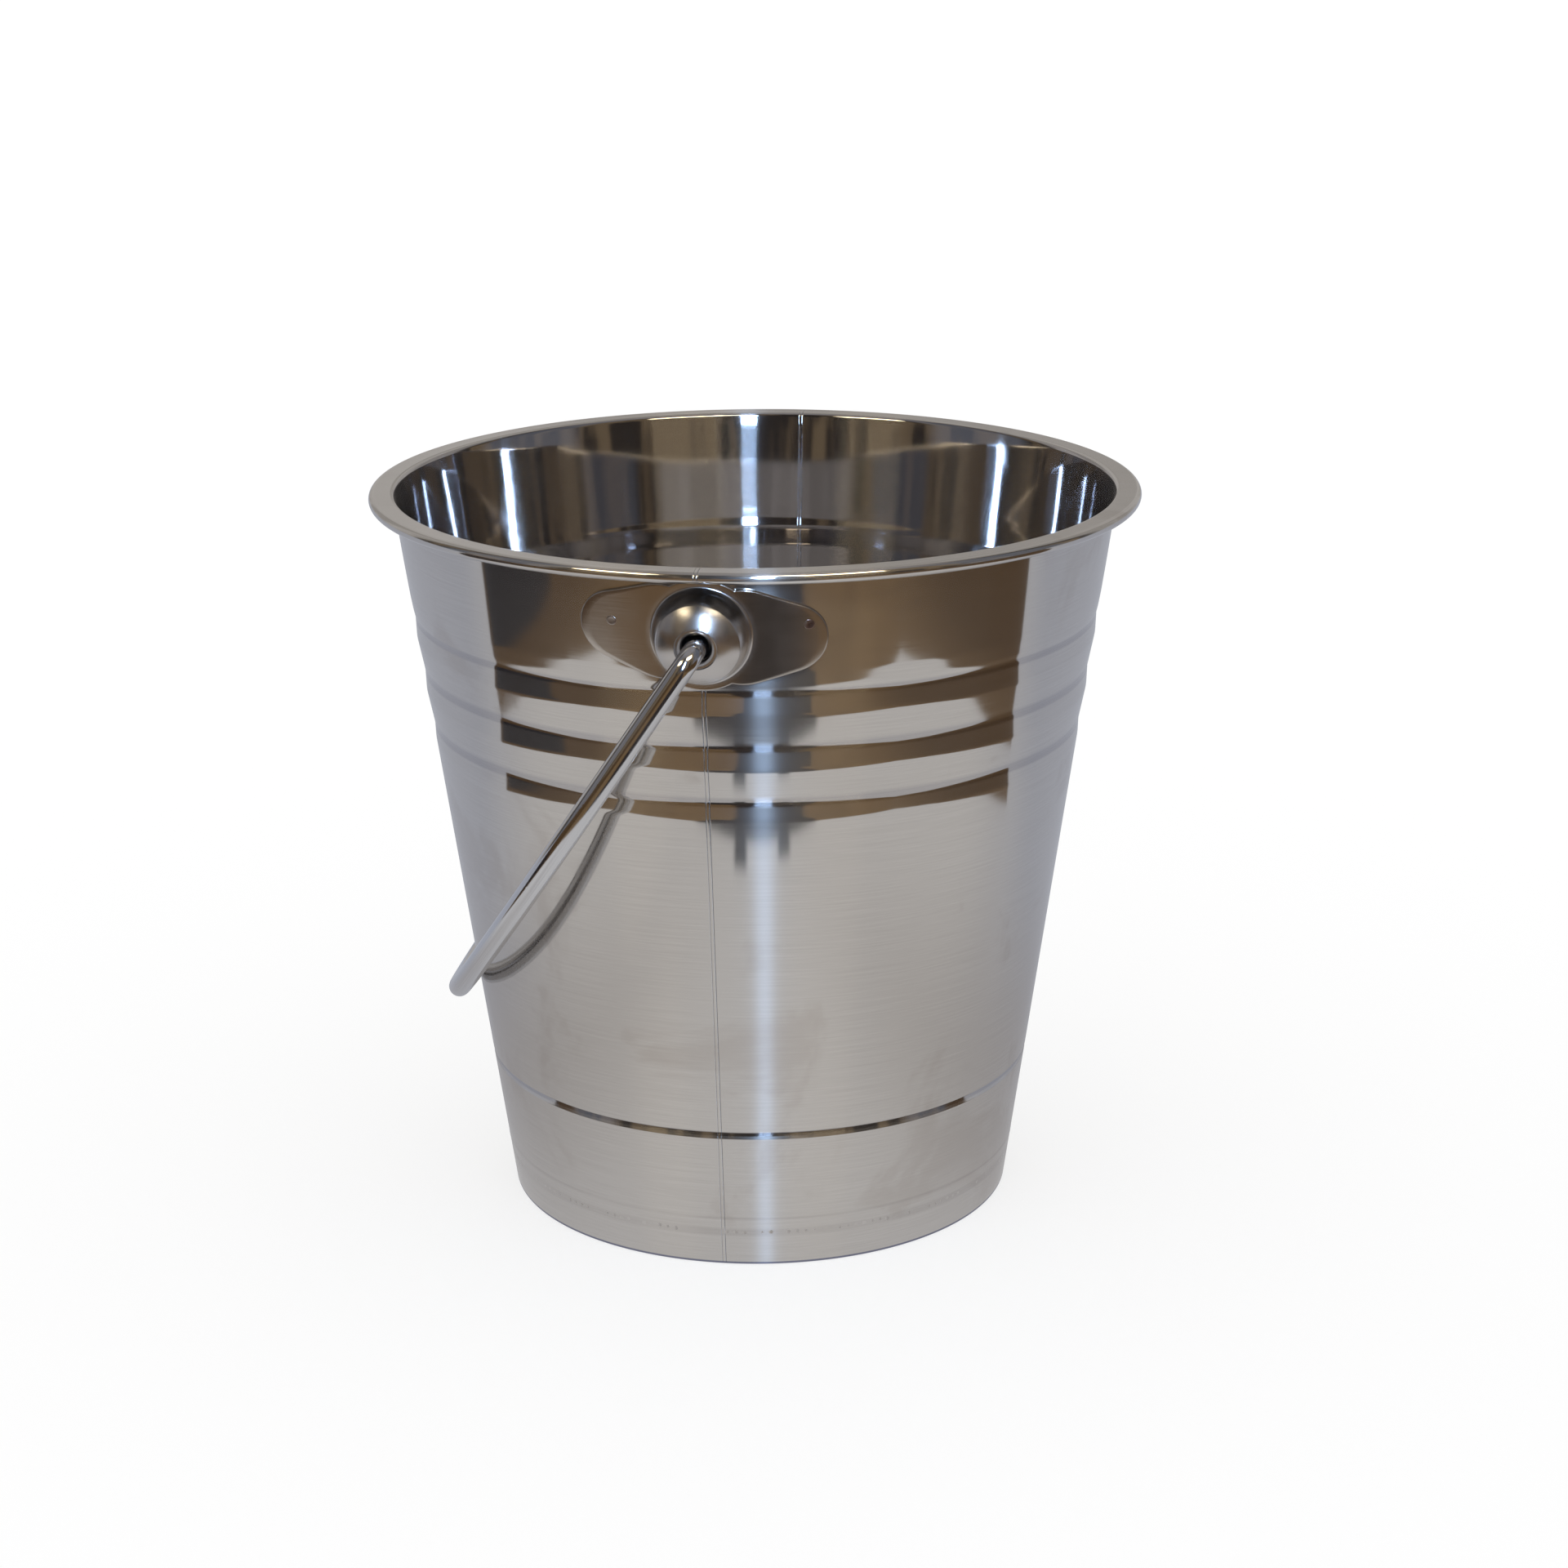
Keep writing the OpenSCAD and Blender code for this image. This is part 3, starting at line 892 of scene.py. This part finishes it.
def sheet_surface(tree, seam=False):
    """Bright sheet steel: finely brushed outside and polished inside, with smudges."""
    place = object_place(tree)
    angle, radius, z = round_the_pail(tree, place)
    tangent = hoop_direction(tree, place)
    outside = outer_face(tree, radius, z)
    lines = brushed_lines(tree, angle, z)
    smudge = rising(tree, noise(tree, place, 22, 4, 0.6, 0.6), 0.6, 0.12)
    wave_depth = blend_values(tree, outside, 0.12 * MM, 0.05 * MM)
    normal = bumped(tree, lines, blend_values(tree, outside, 0.0, 0.0007 * MM))
    normal = bumped(tree, sheet_waves(tree, angle, z), wave_depth, normal)
    rough_outside = total(tree, 0.06, stretched(tree, lines, -0.01, 0.015))
    rough = blend_values(tree, outside, 0.045, rough_outside)
    rough = total(tree, rough, product(tree, smudge, 0.06))
    colour = blend(tree, stretched(tree, lines), SHEET_DARK, SHEET_LIGHT)
    colour = blend(tree, product(tree, smudge, 0.4), colour, SHEET_SMUDGE)
    colour = blend(tree, outside, SHEET_INSIDE, colour)
    # painted shade: a dark blue line along the foot's rounded edge
    foot = falling(tree, z, 0.75 * MM, 0.3 * MM)
    colour = blend(tree, product(tree, foot, 0.75), colour, FOOT_SHADE)
    # painted shade along the ridge over the base's corner and round the weld
    colour = blend(tree, pressed_shade_lines(tree, place, z), colour, PRESSED_SHADE_LINE)
    if seam:
        # painted shade in the seam's two creases
        creases = seam_crease_shade(tree, place)
        colour = blend(tree, creases, colour, SEAM_CREASE_SHADE)
        rough = total(tree, rough, product(tree, creases, 0.2))
    mirror = metal(tree, colour, rough, normal, 0.5, tangent)
    share = blend_values(tree, outside, STREAK_SHARE_INSIDE, STREAK_SHARE_OUTSIDE)
    stretch = blend_values(tree, outside, STREAK_STRETCH_INSIDE, STREAK_STRETCH_OUTSIDE)
    streak = spread_shine(tree, colour, STREAK_ROUGHNESS, stretch, tangent, normal)
    haze = spread_shine(tree, colour, HAZE_ROUGHNESS, HAZE_STRETCH, tangent, normal)
    surface = mixed_shader(tree, share, mirror, streak)
    return mixed_shader(tree, product(tree, outside, HAZE_SHARE), surface, haze)


def base_surface(tree):
    """Sheet steel of the base, with the fine rings that spinning and polishing leave."""
    place = object_place(tree)
    angle, radius, _ = round_the_pail(tree, place)
    ring_place = vector(tree, product(tree, angle, 0.8), product(tree, radius, 1400), 0.0)
    rings = noise(tree, ring_place, 1.0, 4, 0.65)
    stains = rising(tree, noise(tree, place, 30, 4, 0.6, 0.8), 0.58, 0.16)
    colour = blend(tree, stretched(tree, rings), BASE_DARK, BASE_LIGHT)
    colour = blend(tree, product(tree, stains, 0.3), colour, BASE_STAIN)
    rough = total(tree, 0.17, stretched(tree, rings, 0, 0.06), product(tree, stains, 0.08))
    normal = bumped(tree, rings, 0.006 * MM)
    return metal(tree, colour, rough, normal, 0.6, hoop_direction(tree, place))


def nugget_surface(tree):
    """Weld nuggets, cleaned but a little stained between one and the next."""
    place = object_place(tree)
    angle, _, _ = round_the_pail(tree, place)
    beat = maths(tree, "COSINE", product(tree, angle, NUGGETS))
    patches = rising(tree, noise(tree, place, 55, 3), 0.46, 0.16)
    stain = product(tree, scaled_range(tree, beat, -1, 0.2, 1, 0), patches)
    grain = noise(tree, place, 900, 4)
    colour = blend(tree, product(tree, stain, 0.45), SHEET_DARK, NUGGET_STAIN)
    rough = total(tree, 0.18, product(tree, stain, 0.1), stretched(tree, grain, 0, 0.06))
    return metal(tree, colour, rough, bumped(tree, grain, 0.008 * MM))


def ear_surface(tree):
    """The ears: polished domes on plates that keep the sheet's duller grain."""
    place = object_place(tree)
    x, _, z = split(tree, place)
    from_middle = length(tree, x, difference(tree, z, EAR_Z))
    dome = falling(tree, from_middle, DOME_R + DOME_BLEND, DOME_BLEND)
    grain_place = vector(tree, product(tree, x, 60), 0.0, product(tree, z, 2400))
    grain = noise(tree, grain_place, 1.0)
    pits = noise(tree, place, 500)
    smudge = rising(tree, noise(tree, place, 60, 3, 0.6, 0.5), 0.55, 0.2)
    plate_rough = total(tree, 0.2, stretched(tree, grain, -0.01, 0.02), product(tree, smudge, 0.03))
    dome_rough = total(tree, 0.24, stretched(tree, pits, 0, 0.03))
    rough = blend_values(tree, dome, plate_rough, dome_rough)
    colour = blend(tree, stretched(tree, grain), PLATE_DARK, PLATE_LIGHT)
    colour = blend(tree, dome, colour, DOME_STEEL)
    colour = blend(tree, product(tree, smudge, 0.12), colour, EAR_SMUDGE)
    # painted shade: the dome's upward-facing collar is darkened where it mirrors the rim's shaded underside
    _, _, facing_up = split(tree, tree.nodes.new("ShaderNodeNewGeometry").outputs["Normal"])
    crescent_shade = product(tree, dome, rising(tree, facing_up, 0.45, 0.2))
    colour = blend(tree, product(tree, crescent_shade, 0.75), colour, DOME_CRESCENT_SHADE)
    normal = bumped(tree, grain, 0.0004 * MM)
    normal = bumped(tree, pits, 0.003 * MM, normal)
    return metal(tree, colour, rough, normal)


def spot_surface(tree):
    """Spot welds, with the reddish brown tint that heat leaves on part of the ring."""
    place = object_place(tree)
    tint = rising(tree, noise(tree, place, 300, 1), 0.5, 0.1)
    colour = blend(tree, product(tree, tint, 0.8), SPOT_STEEL, SPOT_TINT)
    grain = noise(tree, place, 1500, 4)
    rough = total(tree, 0.26, stretched(tree, grain, 0, 0.1))
    return metal(tree, colour, rough, bumped(tree, grain, 0.01 * MM))


def attribute_value(tree, name):
    """A number stored on the piece's vertices."""
    return new_node(tree, "ShaderNodeAttribute", {}, attribute_name=name).outputs["Fac"]


def wire_surface(tree):
    """Polished drawn wire, with faint drawing lines along it and small knocks."""
    along = attribute_value(tree, "along")
    around = attribute_value(tree, "around")
    across = product(tree, maths(tree, "COSINE", around), 9)
    upward = product(tree, maths(tree, "SINE", around), 9)
    drawn = noise(tree, vector(tree, product(tree, along, 30), across, upward), 1.0, 4, 0.6)
    place = object_place(tree)
    knocks = rising(tree, noise(tree, place, 350, 2), 0.68, 0.1)
    smudge = rising(tree, noise(tree, place, 40, 3, 0.6, 0.5), 0.55, 0.2)
    colour = blend(tree, stretched(tree, drawn), WIRE_DARK, WIRE_LIGHT)
    rough = total(tree, 0.11, stretched(tree, drawn, 0, 0.04), product(tree, smudge, 0.05))
    normal = bumped(tree, drawn, 0.008 * MM)
    normal = bumped(tree, knocks, 0.01 * MM, normal)
    return metal(tree, colour, rough, normal)


# -------------------- floor, light and camera

FLOOR_SIZE = 8.0
FLOOR_DROP = 0.05 * MM
FLOOR_WHITE = (0.95, 0.95, 0.95, 1)
FLOOR_GLOW = 0.7
# The white board that the steel mirrors, in the camera's directions, with painted shadow near and beside
# the pail, and the brown floor around it
BOARD_RIGHT = 0.322
BOARD_LEFT = -0.345
BOARD_FRONT = -0.293
BOARD_CUT_RIGHT = 0.456
BOARD_CUT_LEFT = 0.472
BOARD_CUT_SLANT = 0.6
PALE_REAR = 0.008
EDGE = 0.006
BOARD_SEEN = (0.66, 0.65, 0.64, 1)
BOARD_SHADED = (0.45, 0.47, 0.53, 1)
BOARD_NEAR_SHADOW = (0.3, 0.28, 0.27, 1)
BOARD_BESIDE_SHADOW = (0.3, 0.27, 0.25, 1)
FLOOR_SEEN = (0.2, 0.123, 0.054, 1)
FLOOR_DARK = (0.085, 0.046, 0.016, 1)
BLACK_SEEN = (0.012, 0.012, 0.016, 1)
# The dark shape in front of the board: sides, lean, waist, and the sides and tip of each prong
BODY_SIDES = (-0.1, 0.095)
BODY_LEAN = 0.25
BODY_TIP = -0.007
WAIST = (0.06, 0.16)
WAIST_SIDES = (-0.05, 0.105)
PRONGS = ((-0.036, -0.017, -0.024), (0.03, 0.048, -0.018))
PRONG_EDGE = 0.008
# The room that the steel mirrors, and the plain white that lights it
FRONT_DARK = (0.03, 0.024, 0.02, 1)
FRONT_BROWN = (0.19, 0.14, 0.085, 1)
REAR_GREY = (0.36, 0.34, 0.32, 1)
REAR_PALE = (0.5, 0.48, 0.46, 1)
CEILING = (0.3, 0.28, 0.27, 1)
SIDE_BLUE = (0.3, 0.33, 0.4, 1)
WHITE = (1, 1, 1, 1)
WORLD_STRENGTH = 1.08
# The lights that the steel mirrors
LIGHT_DISTANCE = 1.6
WINDOW_BLUE = (0.45, 0.66, 1.0)
LAMP_WARM = (1.0, 0.84, 0.56)
LAMP_PALE = (1.0, 0.9, 0.7)


def turned_to_camera(tree, place):
    """A place or direction in the camera's frame: x to its right, y away from it and z up."""
    x, y, z = split(tree, place)
    cos = math.cos(CAMERA_AZIMUTH)
    sin = math.sin(CAMERA_AZIMUTH)
    across = total(tree, product(tree, x, cos), product(tree, y, sin))
    away = total(tree, product(tree, y, cos), product(tree, x, -sin))
    return across, away, z


def board_seen(tree, x, y):
    """1 on the white board, whose front corners are cut off, and on the pale floor behind the pail."""
    slant = product(tree, y, BOARD_CUT_SLANT)
    beyond = highest(
        tree,
        difference(tree, x, BOARD_RIGHT),
        difference(tree, BOARD_LEFT, x),
        difference(tree, x, BOARD_CUT_RIGHT, slant),
        difference(tree, -BOARD_CUT_LEFT, x, slant),
    )
    board = product(tree, falling(tree, beyond, 0.0, EDGE), rising(tree, y, BOARD_FRONT, EDGE))
    return highest(tree, board, rising(tree, y, PALE_REAR, EDGE))


def photographer_seen(tree, x, y):
    """1 on the dark shape in front of the board: the camera and whoever holds it."""
    ahead = difference(tree, BOARD_FRONT, y)
    wide = between(tree, difference(tree, x, product(tree, ahead, BODY_LEAN)), *BODY_SIDES, 0.012)
    off_waist = difference(tree, 1.0, between(tree, ahead, *WAIST, 0.03))
    narrow = between(tree, x, *WAIST_SIDES, 0.02)
    body = product(tree, wide, highest(tree, off_waist, narrow), rising(tree, ahead, BODY_TIP, EDGE))
    prongs = [
        product(tree, between(tree, x, left, right, PRONG_EDGE), rising(tree, ahead, tip, PRONG_EDGE))
        for left, right, tip in PRONGS
    ]
    return highest(tree, body, *prongs)


def floor_seen_in_steel(tree):
    """What the steel mirrors of the floor: a white board with painted shadow near and beside the pail, on a
    brown floor, with dark things on it.
    """
    place = tree.nodes.new("ShaderNodeNewGeometry").outputs["Position"]
    x, y, _ = turned_to_camera(tree, place)
    aside = maths(tree, "ABSOLUTE", x)
    from_pail = length(tree, x, y)
    shaded = rising(tree, y, 0.0, 0.26)
    # painted shadow on the board: bluer behind the pail, darker near its foot behind it and close beside it
    near = falling(tree, from_pail, 0.14, 0.12)
    board = blend(tree, shaded, BOARD_SEEN, BOARD_SHADED)
    board = blend(tree, product(tree, near, shaded, 0.35), board, BOARD_NEAR_SHADOW)
    close = falling(tree, from_pail, 0.22, 0.18)
    board = blend(tree, product(tree, close, rising(tree, aside, 0.1, 0.13), 0.42), board, BOARD_BESIDE_SHADOW)
    patches = rising(tree, noise(tree, place, 7, 2, 0.5, 0.4), 0.55, 0.2)
    dim = highest(tree, rising(tree, aside, 0.33, 0.2), product(tree, patches, 0.3))
    brown = blend(tree, dim, FLOOR_SEEN, FLOOR_DARK)
    colour = blend(tree, board_seen(tree, x, y), brown, board)
    colour = blend(tree, product(tree, photographer_seen(tree, x, y), 0.9), colour, BLACK_SEEN)
    left_thing = product(tree, between(tree, x, -1.0, -0.43, 0.02), between(tree, y, -0.225, 0.0, 0.02))
    return blend(tree, product(tree, left_thing, 0.96), colour, BLACK_SEEN)


def unlike_in_steel(tree, plain, mirrored):
    """One shader for the camera and soft light, and another for what the steel mirrors."""
    glossy = tree.nodes.new("ShaderNodeLightPath").outputs["Is Glossy Ray"]
    return mixed_shader(tree, glossy, plain, mirrored)


def floor_surface(tree):
    """Pale paint, which the steel mirrors as the board and the brown floor."""
    paint = new_node(tree, "ShaderNodeBsdfDiffuse", {"Color": FLOOR_WHITE}).outputs[0]
    glow = new_node(tree, "ShaderNodeEmission", {"Color": WHITE}).outputs[0]
    plain = mixed_shader(tree, FLOOR_GLOW, paint, glow)
    mirrored = new_node(tree, "ShaderNodeEmission", {"Color": floor_seen_in_steel(tree)}).outputs[0]
    return unlike_in_steel(tree, plain, mirrored)


def make_floor():
    """A flat floor just below the pail's foot."""
    mesh = bpy.data.meshes.new("studio_floor")
    half = FLOOR_SIZE / 2
    corners = [(-half, -half, 0), (half, -half, 0), (half, half, 0), (-half, half, 0)]
    mesh.from_pydata(corners, [], [(0, 1, 2, 3)])
    floor = bpy.data.objects.new("studio_floor", mesh)
    floor.location.z = -FLOOR_DROP
    bpy.context.scene.collection.objects.link(floor)
    mesh.materials.append(new_material("studio_floor_paint", floor_surface))


def room_seen_in_steel(tree):
    """What the steel mirrors of the room above the floor: brown in front, grey behind the pail."""
    direction = tree.nodes.new("ShaderNodeTexCoord").outputs["Generated"]
    x, y, z = turned_to_camera(tree, direction)
    azimuth = maths(tree, "ARCTAN2", x, product(tree, y, -1))
    side = maths(tree, "ABSOLUTE", azimuth)
    elevation = maths(tree, "ARCSINE", z)
    strip_place = vector(tree, product(tree, azimuth, 3.2), 0.0, product(tree, elevation, 0.8))
    strips = noise(tree, strip_place, 1.0, 3, 0.6)
    front = blend(tree, rising(tree, strips, 0.5, 0.1), FRONT_DARK, FRONT_BROWN)
    rear = blend(tree, rising(tree, strips, 0.52, 0.2), REAR_GREY, REAR_PALE)
    room = blend(tree, rising(tree, side, math.radians(115), math.radians(12)), front, rear)
    overhead = rising(tree, elevation, math.radians(62), math.radians(20))
    colour = blend(tree, overhead, room, CEILING)
    pale_side = between(tree, side, math.radians(62), math.radians(100), math.radians(8))
    return blend(tree, product(tree, pale_side, 0.4), colour, SIDE_BLUE)


def make_world():
    """White to the camera and for soft light, and the room for mirror reflections."""
    world = bpy.data.worlds.new("studio")
    bpy.context.scene.world = world
    world.use_nodes = True
    tree = world.node_tree
    tree.nodes.clear()
    white = new_node(tree, "ShaderNodeBackground", {"Color": WHITE, "Strength": WORLD_STRENGTH}).outputs[0]
    room = new_node(tree, "ShaderNodeBackground", {"Color": room_seen_in_steel(tree)}).outputs[0]
    new_node(tree, "ShaderNodeOutputWorld", {"Surface": unlike_in_steel(tree, white, room)})


def make_mirror_light(name, azimuth, elevation, width, height, brightness, colour):
    """A bright panel that only shows as a reflection, with its size and its place in degrees."""
    turn = math.radians(azimuth) + CAMERA_AZIMUTH
    rise = math.radians(elevation)
    away = Vector((math.cos(rise) * math.sin(turn), -math.cos(rise) * math.cos(turn), math.sin(rise)))
    light = bpy.data.lights.new(name, "AREA")
    light.shape = "RECTANGLE"
    light.size = 2 * LIGHT_DISTANCE * math.tan(math.radians(width / 2))
    light.size_y = 2 * LIGHT_DISTANCE * math.tan(math.radians(height / 2))
    light.color = colour
    light.energy = brightness * math.pi * light.size * light.size_y
    panel = bpy.data.objects.new(name, light)
    bpy.context.scene.collection.objects.link(panel)
    panel.location = LIGHT_DISTANCE * away + Vector((0, 0, PAIL_H / 2))
    panel.rotation_mode = "QUATERNION"
    panel.rotation_quaternion = (-away).to_track_quat("-Z", "Y")
    panel.visible_camera = False
    panel.visible_diffuse = False


def make_lights():
    """The window straight in front and the three warm lamps that the steel mirrors."""
    # Azimuth from the camera, elevation, width and height in degrees, brightness and colour
    make_mirror_light("window", 2, 24, 5, 26, 55, WINDOW_BLUE)
    make_mirror_light("lamp_right", 28, 46, 20, 12, 8, LAMP_WARM)
    make_mirror_light("lamp_middle", 9, 50, 10, 8, 8, LAMP_PALE)
    make_mirror_light("lamp_left", -46, 42, 19, 12, 8, LAMP_WARM)


def make_camera():
    """The camera at the photograph's place, turned as the photograph is."""
    camera = bpy.data.objects.new("camera", bpy.data.cameras.new("camera"))
    camera.data.lens = CAMERA_LENS
    camera.data.sensor_width = CAMERA_SENSOR
    place = Vector((
        CAMERA_DISTANCE * math.sin(CAMERA_AZIMUTH),
        -CAMERA_DISTANCE * math.cos(CAMERA_AZIMUTH),
        CAMERA_HEIGHT,
    ))
    turned = Matrix.Rotation(CAMERA_AZIMUTH - CAMERA_YAW, 4, "Z")
    tilted = Matrix.Rotation(math.pi / 2 - CAMERA_PITCH, 4, "X")
    rolled = Matrix.Rotation(CAMERA_ROLL, 4, "Z")
    camera.matrix_world = Matrix.Translation(place) @ turned @ tilted @ rolled
    bpy.context.scene.collection.objects.link(camera)
    bpy.context.scene.camera = camera


# -------------------- the scene

def build_pail():
    """All the pieces of the pail, each in place of its CAD node."""
    sheet = new_material("shell_steel_sheet", sheet_surface)
    seam = new_material("seam_weld_metal", sheet_surface, seam=True)
    base = new_material("base_steel_sheet", base_surface)
    nugget = new_material("base_weld_metal", nugget_surface)
    ear = new_material("ear_steel_pressing", ear_surface)
    spot = new_material("spot_weld_metal", spot_surface)
    wire = new_material("bail_steel_wire", wire_surface)
    new_piece("left_half_shell", shell_half(-1), sheet, "left_shell")
    new_piece("right_half_shell", shell_half(1), sheet, "right_shell")
    new_piece("front_side_seam", side_seam(1), seam, "front_seam_weld")
    new_piece("rear_side_seam", side_seam(-1), seam, "rear_seam_weld")
    new_piece("dished_base", dished_base(), base, "base_pan")
    new_piece("base_weld_nuggets", base_weld(), nugget, "base_seam_weld")
    new_piece("front_ear", ear_pressing(-1), ear, "ear_front", sharp=EAR_SHARP)
    new_piece("rear_ear", ear_pressing(1), ear, "ear_rear", sharp=EAR_SHARP)
    new_piece("ear_spot_nuggets", spot_welds(), spot, "ear_spot_welds")
    make_bail("wire_bail", wire, "bail")


build_pail()
make_floor()
make_world()
make_lights()
make_camera()
bpy.context.scene.view_settings.view_transform = "Standard"
